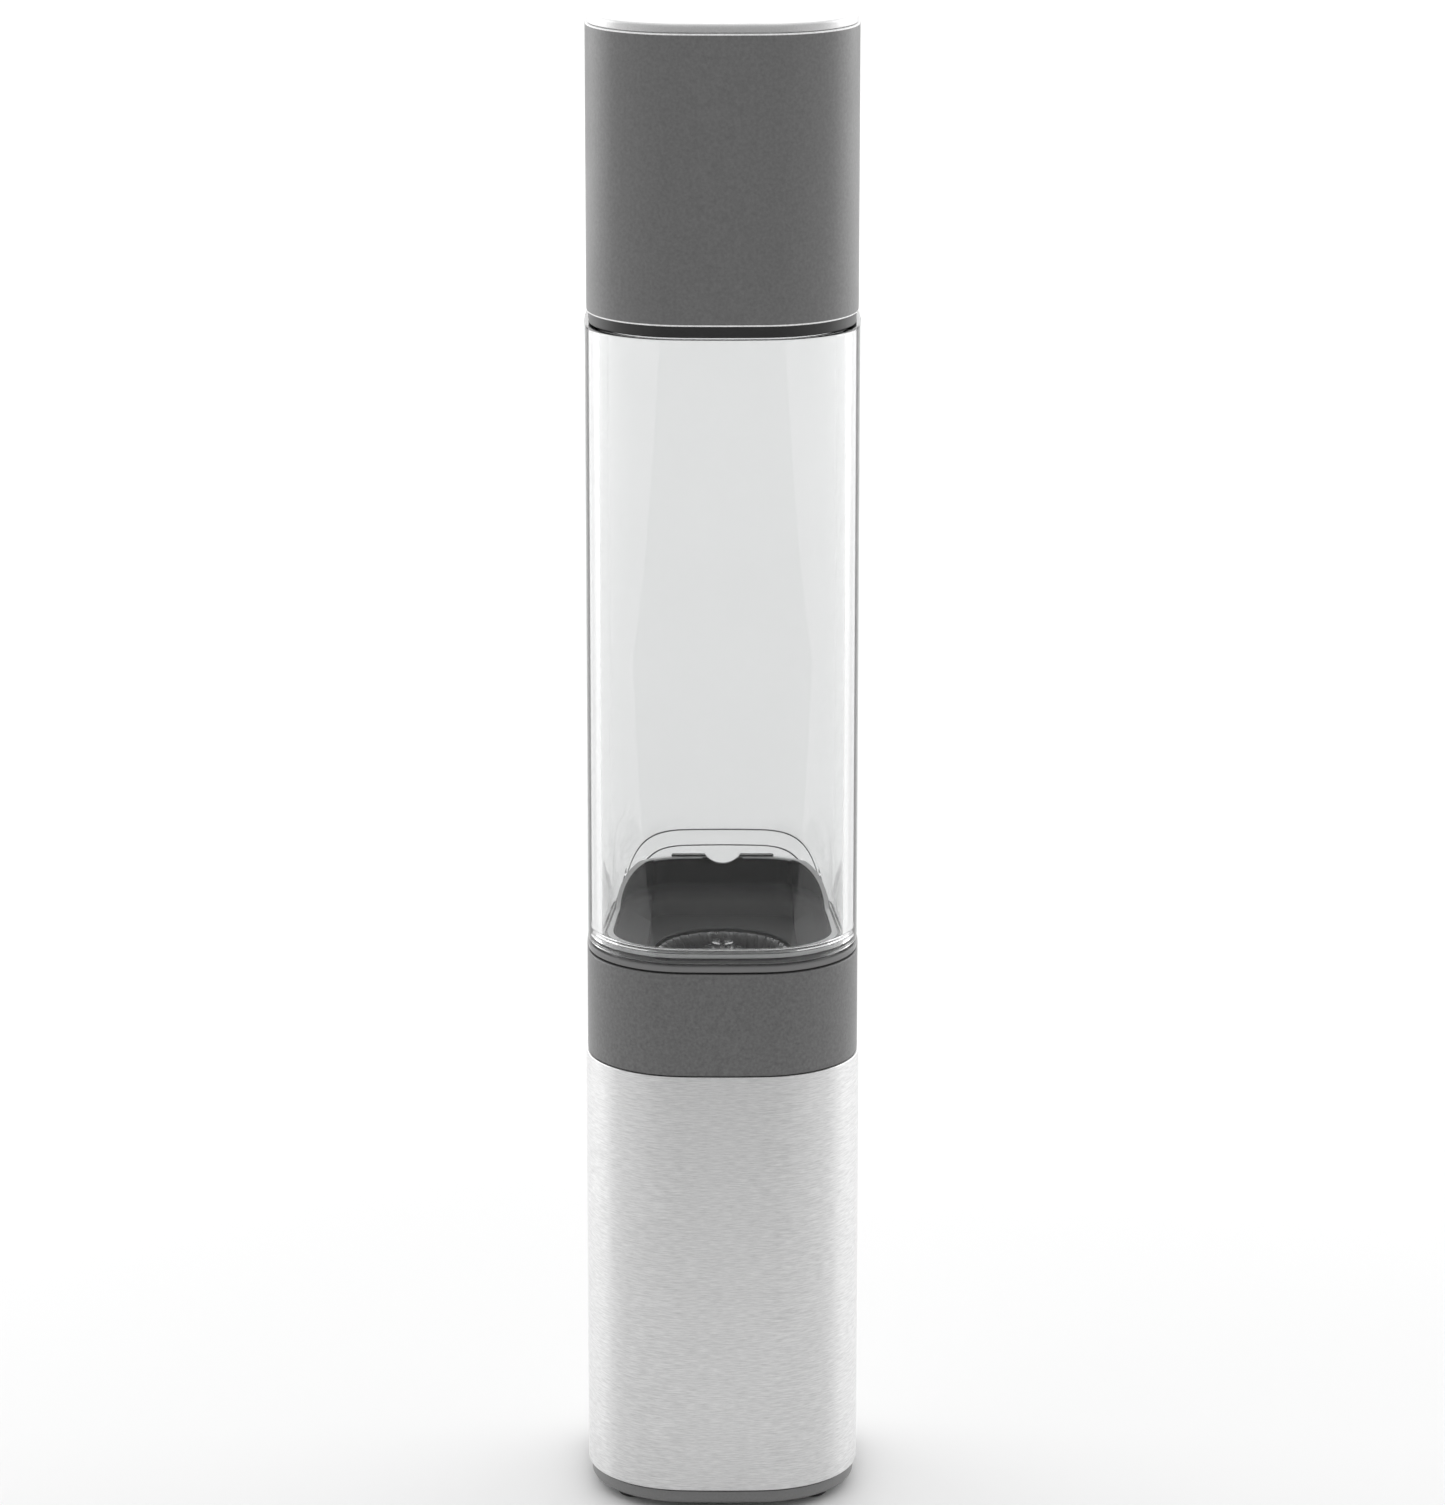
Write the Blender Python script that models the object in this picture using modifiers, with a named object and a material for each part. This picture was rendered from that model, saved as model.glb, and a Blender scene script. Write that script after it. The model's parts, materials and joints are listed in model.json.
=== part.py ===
"""A manual twist pepper mill, standing on its feet on the plane z = 0.

The reservoir (clear container, hopper and collar band) turns on the steel base about the Z axis.
A cone burr on a spindle turns with the base inside a ring burr held by the hopper.
A screw under the base lifts the spindle a little to set the grind, and the cap lifts off the top.
All sizes are in millimetres. They become metres where a mesh is made.
"""

import math

import bmesh
import bpy
from mathutils import Matrix, Vector

MM = 0.001
GAP = 0.3  # clearance between pieces that touch

# Outline of the body seen from above: four slightly bowed faces with wide round corners
BODY_HALF = 24.4
FACE_BOW = 2.2
CORNER_RADIUS = 18.0
FACE_STEPS = 2
CORNER_STEPS = 5
ROUND_STEPS = 28
SMALL_STEPS = 12

# Heights above the table
BASE_BOTTOM = 1.6
SLEEVE_BOTTOM = 4.3
SLEEVE_TOP = 81.6
BAND_TOP = 100.5
CONTAINER_BOTTOM = 102.3
SEAL_BOTTOM = 103.4
SEAL_TOP = 104.4
SHOULDER = 214.6
CAP_BOTTOM = 215.0
CAP_TOP = 264.7
TOTAL_HEIGHT = 266.3

# Base
SHEET = 0.6
HOUSING_HALF = BODY_HALF - SHEET - GAP
HOUSING_WALL = 1.5
DECK_TOP = 80.4
DECK_BOTTOM = 78.1
FOOT_RADIUS = 2.95
FOOT_HEIGHT = 2.6
POST_X = 16.0
POST_Y = 14.2
RIM_HALF = 23.8
RIM_TOP = SLEEVE_BOTTOM - GAP
PLATE_TOP = 5.8
OUTLET_RADIUS = 11.0
POST_TOP = 70.5
POST_BOTTOM = PLATE_TOP + GAP

# Chute and drive inside the base
CHUTE_TOP = 72.6
CHUTE_RADIUS = 10.8
THROAT_RADIUS = 16.0
LEDGE_Z = 65.6
SPIDER_TOP = 70.4
HUB_RADIUS = 4.4
SPINDLE_RADIUS = 2.0
SPINDLE_BOTTOM = 10.6
SPINDLE_TOP = 99.9
SQUARE_SIDE = 3.6

# Hopper neck, which turns in the deck of the base
NECK_RADIUS = 16.1
NECK_BOTTOM = 73.0
NECK_HOLE = 16.6
BORE_RADIUS = 12.9
LIP_RADIUS = 12.2
WELL_FLOOR = 99.0
BAND_HALF = 24.1
BAND_WALL = 1.8
BAND_BOTTOM = SLEEVE_TOP + GAP
BAND_FLOOR = BAND_BOTTOM + 2.2

# Top edge of the hopper. It climbs at the back corners to a high back, where a notched tab stands
HOPPER_FRONT = 105.1
HOPPER_BACK = 110.0
RAMP_START = 8.0
RAMP_LENGTH = 9.5
SHELF_LOW = 100.8
SHELF_HIGH = 103.2
TAB_TOP = 110.4
NOTCH_RADIUS = 3.8
NOTCH_LIFT = 2.0

# Grinding burrs
STATOR_TOP = 98.2
BURR_BOTTOM = 86.0
STATOR_TEETH = 18
ROTOR_TEETH = 12

# Clear container
CONTAINER_HALF = 24.0
CONTAINER_WALL = 2.4
NECK_HALF = 22.35
CONTAINER_TOP = 222.1

# Cap
CAP_HALF = 23.65
CAP_WALL = 1.0
LINER_HALF = 21.25
LINER_BOTTOM = 212.8
PLATE_HALF = 23.35
CAP_POST = 14.0
LINER_RIM = 225.1


def pepper_mill_collection():
    """The collections for the parts and for the cutters."""
    groups = []
    for name in ("pepper_mill", "cutters"):
        group = bpy.data.collections.new(name)
        bpy.context.scene.collection.children.link(group)
        groups.append(group)
    return groups


def make_material(name, colour, roughness, metallic=0.0, transmission=0.0):
    material = bpy.data.materials.new(name)
    material.use_nodes = True
    shader = material.node_tree.nodes["Principled BSDF"]
    shader.inputs["Base Color"].default_value = (*colour, 1.0)
    shader.inputs["Roughness"].default_value = roughness
    shader.inputs["Metallic"].default_value = metallic
    shader.inputs["Transmission Weight"].default_value = transmission
    return material


# Outlines ---------------------------------------------------------------------------------------


def square(half, z):
    """The body outline at height z, moved in from the outside to the given half width."""
    inset = BODY_HALF - half
    face = (BODY_HALF**2 + FACE_BOW**2) / (2 * FACE_BOW)
    back = face - BODY_HALF
    corner = CORNER_RADIUS
    centre = (math.sqrt(8 * (face - corner) ** 2 - 4 * back**2) - 2 * back) / 4
    tangent = math.atan2(centre, centre + back)
    quarter = []
    for i in range(FACE_STEPS):
        turn = tangent * (2 * i / FACE_STEPS - 1)
        quarter.append(Vector((math.sin(turn), -math.cos(turn))) * (face - inset) + Vector((0, back)))
    for i in range(CORNER_STEPS):
        turn = tangent + (math.pi / 2 - 2 * tangent) * i / CORNER_STEPS
        quarter.append(
            Vector((math.sin(turn), -math.cos(turn))) * (corner - inset) + Vector((centre, -centre))
        )
    ring = []
    for side in range(4):
        spin = Matrix.Rotation(side * math.pi / 2, 2)
        ring.extend(spin @ point for point in quarter)
    return [Vector((p.x, p.y, z)) * MM for p in ring]


def disc(radius, z):
    """A circle with a point in the same direction as each point of the body outline."""
    return [Vector((p.x, p.y, 0)).normalized() * radius * MM + Vector((0, 0, z * MM)) for p in square(BODY_HALF, 0)]


def hopper_rim(half):
    """The body outline at the height of the hopper's top edge."""
    ring = square(half, HOPPER_FRONT)
    for point in ring:
        share = (point.y / MM - RAMP_START) / RAMP_LENGTH
        point.z += (HOPPER_BACK - HOPPER_FRONT) * MM * min(1.0, max(0.0, share))
    return ring


def circle(radius, z, count, turn=0.0):
    """A circle of evenly spaced points."""
    angles = [turn + 2 * math.pi * i / count for i in range(count)]
    return [Vector((radius * math.cos(a), radius * math.sin(a), z)) * MM for a in angles]


def toothed(outer, inner, z, teeth, turn):
    """A ring that steps between two radii once for each tooth."""
    ring = []
    for i in range(2 * teeth):
        angle = turn + math.pi * i / teeth
        radius = outer if i % 2 == 0 else inner
        ring.append(Vector((radius * math.cos(angle), radius * math.sin(angle), z)) * MM)
    return ring


# Meshes -----------------------------------------------------------------------------------------


def add_object(name, mesh, group, material=None):
    thing = bpy.data.objects.new(name, mesh)
    group.objects.link(thing)
    if material is not None:
        thing.data.materials.append(material)
    return thing


def finish_mesh(name, bm, group, material):
    bmesh.ops.recalc_face_normals(bm, faces=bm.faces)
    mesh = bpy.data.meshes.new(name)
    bm.to_mesh(mesh)
    bm.free()
    if material is not None:
        mesh.shade_smooth()
        mesh.set_sharp_from_angle(angle=math.radians(35))
    return add_object(name, mesh, group, material)


def loft(name, rings, group, material=None, capped=False):
    """Joins each ring to the next. The last joins the first, or both ends are capped."""
    bm = bmesh.new()
    loops = [[bm.verts.new(point) for point in ring] for ring in rings]
    followers = loops[1:] if capped else loops[1:] + loops[:1]
    for loop, follower in zip(loops, followers):
        for i in range(len(loop)):
            bm.faces.new((loop[i - 1], loop[i], follower[i], follower[i - 1]))
    if capped:
        bm.faces.new(loops[0])
        bm.faces.new(loops[-1])
    return finish_mesh(name, bm, group, material)


def turned(name, profile, group, material=None, steps=ROUND_STEPS, at=(0, 0)):
    """A round piece. The profile lists (radius, height) down the outside and up the inside."""
    bm = bmesh.new()
    points = [bm.verts.new(Vector((radius, 0, z)) * MM) for radius, z in profile]
    for first, second in zip(points, points[1:]):
        bm.edges.new((first, second))
    if profile[0][0] > 0:
        bm.edges.new((points[-1], points[0]))
    mesh = bpy.data.meshes.new(name)
    bm.to_mesh(mesh)
    bm.free()
    piece = add_object(name, mesh, group, material)
    piece.location = (at[0] * MM, at[1] * MM, 0)
    screw = piece.modifiers.new("turn", "SCREW")
    screw.steps = steps
    screw.render_steps = steps
    screw.use_merge_vertices = True
    screw.merge_threshold = 0.000001
    screw.use_smooth_shade = True
    return piece


def cylinders(name, places, radius, low, high, group, material=None, steps=SMALL_STEPS):
    """Upright cylinders of one size at several places, as one object."""
    bm = bmesh.new()
    for x, y in places:
        centre = Matrix.Translation(Vector((x, y, (low + high) / 2)) * MM)
        bmesh.ops.create_cone(
            bm,
            cap_ends=True,
            segments=steps,
            radius1=radius * MM,
            radius2=radius * MM,
            depth=(high - low) * MM,
            matrix=centre,
        )
    return finish_mesh(name, bm, group, material)


def boxes(name, list_of_boxes, group):
    """Boxes given as (centre, size, turn about the Z axis through the origin), as one object."""
    bm = bmesh.new()
    for centre, size, turn in list_of_boxes:
        place = Matrix.Rotation(turn, 4, "Z") @ Matrix.Translation(Vector(centre) * MM)
        scale = Matrix.Diagonal((*(Vector(size) * MM), 1))
        bmesh.ops.create_cube(bm, size=1, matrix=place @ scale)
    return finish_mesh(name, bm, group, None)


def combine(piece, tool, operation):
    """Joins a tool to a piece or cuts it away. The tool itself isn't a part."""
    modifier = piece.modifiers.new(tool.name, "BOOLEAN")
    modifier.operation = operation
    modifier.object = tool
    tool.hide_render = True
    tool.display_type = "WIRE"


def corner_places(x=POST_X, y=POST_Y):
    return [(sx * x, sy * y) for sx, sy in ((1, 1), (-1, 1), (-1, -1), (1, -1))]


def corner_blocks(name, low, high, near, far, group):
    """Blocks that point at the four screw places, to carry the screws."""
    blocks = []
    for x, y in corner_places():
        centre = ((near + far) / 2, 0, (low + high) / 2)
        blocks.append((centre, (far - near, 5.0, high - low), math.atan2(y, x)))
    return boxes(name, blocks, group)


def screws(name, places, tip, seat, head, group, material):
    """Pan-head screws. The shank runs from tip to seat, and the head from seat to head."""
    profile = [(0, head), (1.5, head), (1.9, (head + seat) / 2), (1.9, seat), (0.95, seat), (0.95, tip), (0, tip)]
    if head < seat:
        profile.reverse()
    for number, place in enumerate(places, 1):
        turned(f"{name}_{number}", profile, group, material, 10, place)


# Base -------------------------------------------------------------------------------------------


def steel_sleeve(parts, steel):
    inner = BODY_HALF - SHEET
    rings = [
        square(BODY_HALF - 0.15, SLEEVE_TOP),
        square(BODY_HALF, SLEEVE_TOP - 0.15),
        square(BODY_HALF, SLEEVE_BOTTOM),
        square(inner, SLEEVE_BOTTOM),
        square(inner, SLEEVE_TOP),
    ]
    return loft("steel_sleeve", rings, parts, steel)


def inner_housing(parts, cutters, plastic):
    inner = HOUSING_HALF - HOUSING_WALL
    rings = [
        square(HOUSING_HALF, SLEEVE_TOP - GAP),
        square(HOUSING_HALF, SLEEVE_BOTTOM + GAP),
        square(inner, SLEEVE_BOTTOM + GAP),
        square(inner, DECK_BOTTOM),
        disc(NECK_HOLE, DECK_BOTTOM),
        disc(NECK_HOLE, DECK_TOP),
        square(inner, DECK_TOP),
        square(inner, SLEEVE_TOP - GAP),
    ]
    housing = loft("inner_housing", rings, parts, plastic)
    combine(housing, corner_blocks("housing_posts", POST_BOTTOM, POST_TOP, 18.2, 25.2, cutters), "UNION")
    for name, low, high in (("low_holes", POST_BOTTOM - 1, 15.0), ("high_holes", 61.0, POST_TOP + 1)):
        combine(housing, cylinders(name, corner_places(), 1.25, low, high, cutters), "DIFFERENCE")
    return housing


def base_plate(parts, cutters, plastic):
    """The rim seen under the sleeve, with a hub on three arms across the outlet."""
    rings = [
        square(RIM_HALF, RIM_TOP),
        square(RIM_HALF, BASE_BOTTOM + 0.8),
        square(RIM_HALF - 0.25, BASE_BOTTOM + 0.3),
        square(RIM_HALF - 0.9, BASE_BOTTOM),
        disc(OUTLET_RADIUS, BASE_BOTTOM),
        disc(OUTLET_RADIUS, PLATE_TOP),
        square(21.4, PLATE_TOP),
        square(21.4, RIM_TOP),
    ]
    plate = loft("base_plate", rings, parts, plastic)
    arms = [((7.5, 0, 4.5), (9.0, 2.4, 1.4), math.radians(a)) for a in (60, 180, 300)]
    combine(plate, boxes("plate_arms", arms, cutters), "UNION")
    combine(plate, cylinders("plate_hub", [(0, 0)], HUB_RADIUS, 3.7, 13.0, cutters), "UNION")
    combine(plate, cylinders("hub_bore", [(0, 0)], 2.5, 3.0, 14.0, cutters), "DIFFERENCE")
    pocket_top = FOOT_HEIGHT + GAP
    cuts = (
        ("foot_pockets", FOOT_RADIUS + GAP, 1.0, pocket_top, 20),
        ("head_pockets", 2.25, pocket_top - 0.4, 4.5, SMALL_STEPS),
        ("plate_holes", 1.25, 4.0, PLATE_TOP + 0.6, SMALL_STEPS),
    )
    for name, radius, low, high, steps in cuts:
        tool = cylinders(name, corner_places(), radius, low, high, cutters, steps=steps)
        combine(plate, tool, "DIFFERENCE")
    return plate


def rubber_feet(parts, rubber):
    names = ("foot_back_right", "foot_back_left", "foot_front_left", "foot_front_right")
    profile = [
        (0, FOOT_HEIGHT),
        (FOOT_RADIUS, FOOT_HEIGHT),
        (FOOT_RADIUS, 0.9),
        (FOOT_RADIUS - 0.35, 0.25),
        (FOOT_RADIUS - 1.0, 0),
        (0, 0),
    ]
    return [turned(name, profile, parts, rubber, 20, place) for name, place in zip(names, corner_places())]


def outlet_chute(parts, cutters, plastic):
    """A funnel that hangs on the housing posts and leads the ground pepper down."""
    rings = [
        square(21.4, CHUTE_TOP),
        square(21.4, POST_TOP + GAP),
        disc(17.5, POST_TOP + GAP),
        disc(17.5, 58.0),
        disc(12.2, 42.0),
        disc(12.2, PLATE_TOP + 0.4),
        disc(CHUTE_RADIUS, PLATE_TOP + 0.4),
        disc(CHUTE_RADIUS, 42.5),
        disc(14.9, 57.0),
        disc(14.9, LEDGE_Z),
        disc(THROAT_RADIUS, LEDGE_Z),
        disc(THROAT_RADIUS, CHUTE_TOP),
    ]
    chute = loft("outlet_chute", rings, parts, plastic)
    holes = cylinders("chute_holes", corner_places(), 1.25, POST_TOP, CHUTE_TOP + 1, cutters)
    combine(chute, holes, "DIFFERENCE")
    return chute


def drive_spider(parts, cutters, plastic):
    """A hub on three arms that holds the spindle in the middle of the chute and turns it."""
    low = LEDGE_Z + GAP
    ring = [(15.6, SPIDER_TOP), (15.6, low), (14.2, low), (14.2, SPIDER_TOP)]
    spider = turned("drive_spider", ring, parts, plastic)
    middle = (low + SPIDER_TOP) / 2
    height = SPIDER_TOP - low - 0.8
    arms = [((9.4, 0, middle), (10.6, 2.6, height), math.radians(a)) for a in (90, 210, 330)]
    combine(spider, boxes("spider_arms", arms, cutters), "UNION")
    combine(spider, cylinders("spider_hub", [(0, 0)], 5.4, low - 1.4, SPIDER_TOP + 0.4, cutters, steps=24), "UNION")
    combine(spider, cylinders("spider_bore", [(0, 0)], 3.8, low - 3, SPIDER_TOP + 2, cutters, steps=24), "DIFFERENCE")
    return spider


def spindle_bush(parts, cutters, nylon):
    """A round bush with a square hole, so that the spindle turns with the base but can slide."""
    low = LEDGE_Z - 1.0
    profile = [(0, SPIDER_TOP + 0.4), (3.5, SPIDER_TOP + 0.4), (3.5, low), (0, low)]
    bush = turned("spindle_bush", profile, parts, nylon, 24)
    side = SQUARE_SIDE + 0.5
    hole = boxes("square_hole", [((0, 0, 68), (side, side, 12), 0)], cutters)
    combine(bush, hole, "DIFFERENCE")
    return bush


def slide_washer(parts, nylon):
    low = DECK_TOP + GAP
    high = BAND_BOTTOM - GAP
    profile = [(20.4, high), (20.4, low), (NECK_HOLE + 0.4, low), (NECK_HOLE + 0.4, high)]
    return turned("slide_washer", profile, parts, nylon)


def burr_spring(parts, steel, low, high):
    """A coil between the spider's hub and the washer on the spindle."""
    turns = 6
    per_turn = 8
    wire = 0.4
    radius = 3.3
    curve = bpy.data.curves.new("burr_spring", "CURVE")
    curve.dimensions = "3D"
    curve.bevel_depth = wire * MM
    curve.bevel_resolution = 2
    curve.use_fill_caps = True
    spline = curve.splines.new("POLY")
    count = turns * per_turn + 1
    spline.points.add(count - 1)
    for i, point in enumerate(spline.points):
        angle = 2 * math.pi * i / per_turn
        height = low + wire + (high - low - 2 * wire) * i / (count - 1)
        point.co = (radius * math.cos(angle) * MM, radius * math.sin(angle) * MM, height * MM, 1)
    return add_object("burr_spring", curve, parts, steel)


# Spindle, burrs and adjuster --------------------------------------------------------------------


def spindle(parts, cutters, steel):
    radius = SPINDLE_RADIUS
    profile = [
        (0, SPINDLE_TOP),
        (radius - 0.25, SPINDLE_TOP),
        (radius, SPINDLE_TOP - 0.25),
        (radius, BURR_BOTTOM - GAP),
        (3.4, BURR_BOTTOM - GAP),
        (3.4, BURR_BOTTOM - 1.5),
        (radius, BURR_BOTTOM - 1.5),
        (radius, SPINDLE_BOTTOM + 0.6),
        (radius - 0.6, SPINDLE_BOTTOM),
        (0, SPINDLE_BOTTOM),
    ]
    shaft = turned("spindle", profile, parts, steel, 20)
    square_part = boxes("spindle_square", [((0, 0, 72.5), (SQUARE_SIDE, SQUARE_SIDE, 23), 0)], cutters)
    slot = boxes("spindle_slot", [((0, 0, SPINDLE_TOP), (0.8, 6, 4.0), 0)], cutters)
    combine(shaft, square_part, "UNION")
    combine(shaft, slot, "DIFFERENCE")
    return shaft


def spindle_clips(parts, steel):
    """The clip over the cone burr and the clip under the spring's washer."""
    inner = SPINDLE_RADIUS + 0.15
    for name, low in (("upper_clip", 97.7), ("lower_clip", 48.6)):
        turned(name, [(3.5, low + 0.8), (3.5, low), (inner, low), (inner, low + 0.8)], parts, steel, 16)


def spring_washer(parts, steel):
    inner = SPINDLE_RADIUS + 0.15
    return turned("spring_washer", [(4.2, 50.4), (4.2, 49.6), (inner, 49.6), (inner, 50.4)], parts, steel, 20)


def rotor_burr(parts, steel):
    """A cone with twisted teeth, widest at the bottom."""
    steps = ((4.6, 3.7, 97.4), (7.4, 6.2, 95.2), (9.1, 8.0, 91.5), (10.4, 9.7, 88.3), (11.0, 10.6, BURR_BOTTOM))
    rings = []
    for tip, root, z in steps:
        rings.append(toothed(tip, root, z, ROTOR_TEETH, (97.4 - z) * 0.055))
    bore = SPINDLE_RADIUS + 0.25
    last = (97.4 - BURR_BOTTOM) * 0.055
    rings.append(circle(bore, BURR_BOTTOM, 2 * ROTOR_TEETH, last))
    rings.append(circle(bore, 97.4, 2 * ROTOR_TEETH))
    return loft("rotor_burr", rings, parts, steel)


def stator_burr(parts, steel):
    """A ring with teeth inside, narrowest below its mouth and flared at the bottom."""
    count = 2 * STATOR_TEETH
    outer = BORE_RADIUS - GAP
    steps = ((11.7, 11.2, STATOR_TOP), (10.3, 9.7, 95.4), (10.9, 10.3, 91.0), (11.9, 11.5, BURR_BOTTOM))
    rings = [circle(outer, BURR_BOTTOM, count), circle(outer, STATOR_TOP, count)]
    for root, tip, z in steps:
        rings.append(toothed(root, tip, z, STATOR_TEETH, (z - STATOR_TOP) * 0.02))
    return loft("stator_burr", rings, parts, steel)


def burr_clamp_ring(parts, steel):
    high = BURR_BOTTOM - GAP
    profile = [(12.6, high), (12.6, high - 2.2), (11.8, high - 2.2), (11.8, high)]
    return turned("burr_clamp_ring", profile, parts, steel)


def adjuster_knob(parts, cutters, plastic):
    """A small fluted wheel under the base, in the middle of the outlet."""
    profile = [(4.9, 3.4), (4.9, 1.1), (4.5, 0.7), (2.5, 0.7), (2.5, 3.4)]
    knob = turned("adjuster_knob", profile, parts, plastic, 24)
    places = []
    for i in range(10):
        angle = 2 * math.pi * i / 10
        places.append((5.4 * math.cos(angle), 5.4 * math.sin(angle)))
    combine(knob, cylinders("knob_flutes", places, 0.9, 0, 4.5, cutters, steps=10), "DIFFERENCE")
    return knob


def adjuster_screw(parts, cutters, steel):
    profile = [(0, 10.0), (1.7, 10.0), (2.1, 9.6), (2.1, 1.0), (0, 1.0)]
    screw = turned("adjuster_screw", profile, parts, steel, 20)
    combine(screw, cylinders("hex_socket", [(0, 0)], 1.2, 0, 3.0, cutters, steps=6), "DIFFERENCE")
    return screw


# Reservoir --------------------------------------------------------------------------------------


def hopper(parts, cutters, plastic):
    """The dark floor of the container: a rim with a high back, a channel across it and a neck."""
    rim = CONTAINER_HALF - CONTAINER_WALL - GAP
    flange_top = CONTAINER_BOTTOM - GAP - 0.05
    flange_low = BAND_TOP + GAP
    body = BAND_HALF - BAND_WALL - GAP
    bottom = BAND_FLOOR + GAP
    back = rim - 0.65
    rings = [
        hopper_rim(back),
        square(rim, SEAL_TOP),
        square(back, SEAL_TOP),
        square(back, SEAL_BOTTOM),
        square(rim, SEAL_BOTTOM),
        square(rim, flange_top),
        square(CONTAINER_HALF - 0.4, flange_top),
        square(CONTAINER_HALF - 0.05, flange_top - 0.35),
        square(CONTAINER_HALF - 0.05, flange_low + 0.2),
        square(CONTAINER_HALF - 0.25, flange_low),
        square(body, flange_low),
        square(body, bottom),
        square(body - 1.5, bottom),
        square(body - 1.5, 96.0),
        disc(NECK_RADIUS, 96.0),
        disc(NECK_RADIUS, DECK_BOTTOM),
        disc(NECK_RADIUS - 1.2, DECK_BOTTOM),
        disc(NECK_RADIUS - 1.2, DECK_BOTTOM - 1.7),
        disc(NECK_RADIUS, DECK_BOTTOM - 1.7),
        disc(NECK_RADIUS, NECK_BOTTOM),
        disc(BORE_RADIUS, NECK_BOTTOM),
        disc(BORE_RADIUS, STATOR_TOP + GAP),
        disc(LIP_RADIUS, STATOR_TOP + GAP),
        disc(LIP_RADIUS, SHELF_LOW),
        square(13.6, SHELF_LOW),
        square(back - 1.3, SHELF_HIGH),
        hopper_rim(back - 1.3),
    ]
    piece = loft("hopper", rings, parts, plastic)
    combine(piece, corner_blocks("hopper_blocks", bottom, 97.0, 17.4, 23.9, cutters), "UNION")
    channel = boxes("hopper_channel", [((0, 0, WELL_FLOOR + 6.5), (26.6, 39.0, 13), 0)], cutters)
    edges = channel.modifiers.new("round", "BEVEL")
    edges.width = 3.4 * MM
    edges.segments = 3
    edges.limit_method = "WEIGHT"
    round_upright_edges(channel)
    combine(piece, channel, "DIFFERENCE")
    tab = boxes("hopper_tab", [((0, back - 0.55, TAB_TOP - 0.7), (19.0, 1.1, 1.4), 0)], cutters)
    combine(piece, tab, "UNION")
    notch = cylinders("hopper_notch", [(0, 0)], NOTCH_RADIUS, -3, 3, cutters, steps=24)
    notch.rotation_euler = (math.pi / 2, 0, 0)
    notch.location = Vector((0, back, TAB_TOP + NOTCH_LIFT)) * MM
    combine(piece, notch, "DIFFERENCE")
    combine(piece, cylinders("hopper_holes", corner_places(), 1.25, 83.0, 93.0, cutters), "DIFFERENCE")
    return piece


def round_upright_edges(piece):
    """Marks the upright edges of a box for its Bevel modifier."""
    bm = bmesh.new()
    bm.from_mesh(piece.data)
    weight = bm.edges.layers.float.new("bevel_weight_edge")
    for edge in bm.edges:
        if abs(edge.verts[0].co.z - edge.verts[1].co.z) > 1 * MM:
            edge[weight] = 1.0
    bm.to_mesh(piece.data)
    bm.free()


def container(parts, clear):
    inner = CONTAINER_HALF - CONTAINER_WALL
    rings = [
        square(NECK_HALF, CONTAINER_TOP),
        square(NECK_HALF, SHOULDER),
        square(CONTAINER_HALF - 0.3, SHOULDER),
        square(CONTAINER_HALF, SHOULDER - 0.3),
        square(CONTAINER_HALF, CONTAINER_BOTTOM + 0.8),
        square(CONTAINER_HALF - 0.25, CONTAINER_BOTTOM + 0.25),
        square(CONTAINER_HALF - 0.8, CONTAINER_BOTTOM),
        square(inner, CONTAINER_BOTTOM),
        square(inner, CONTAINER_TOP),
    ]
    return loft("container", rings, parts, clear)


def container_seal(parts, silicone):
    """A pale ring in a groove round the hopper, pressed against the inside of the container."""
    outer = CONTAINER_HALF - CONTAINER_WALL - 0.15
    low = SEAL_BOTTOM + 0.1
    high = SEAL_TOP - 0.1
    rings = [square(outer, high), square(outer, low), square(outer - 0.6, low), square(outer - 0.6, high)]
    return loft("container_seal", rings, parts, silicone)


def collar_band(parts, cutters, plastic):
    inner = BAND_HALF - BAND_WALL
    rings = [
        square(BAND_HALF - 0.2, BAND_TOP),
        square(BAND_HALF, BAND_TOP - 0.2),
        square(BAND_HALF, BAND_BOTTOM + 0.2),
        square(BAND_HALF - 0.2, BAND_BOTTOM),
        disc(NECK_RADIUS + GAP + 0.1, BAND_BOTTOM),
        disc(NECK_RADIUS + GAP + 0.1, BAND_FLOOR),
        square(inner, BAND_FLOOR),
        square(inner, BAND_TOP),
    ]
    band = loft("collar_band", rings, parts, plastic)
    head_pockets = cylinders("band_pockets", corner_places(), 2.25, BAND_BOTTOM - 1, BAND_BOTTOM + 1.3, cutters)
    combine(band, head_pockets, "DIFFERENCE")
    holes = cylinders("band_holes", corner_places(), 1.25, BAND_BOTTOM, BAND_FLOOR + 1, cutters)
    combine(band, holes, "DIFFERENCE")
    return band


def swivel_ring(parts, steel):
    """The ring that clips into the neck under the deck and holds the reservoir on the base."""
    high = DECK_BOTTOM - GAP
    inner = NECK_RADIUS - 1.2 + 0.2
    profile = [(18.2, high), (18.2, high - 1.1), (inner, high - 1.1), (inner, high)]
    return turned("swivel_ring", profile, parts, steel)


# Cap --------------------------------------------------------------------------------------------


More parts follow.
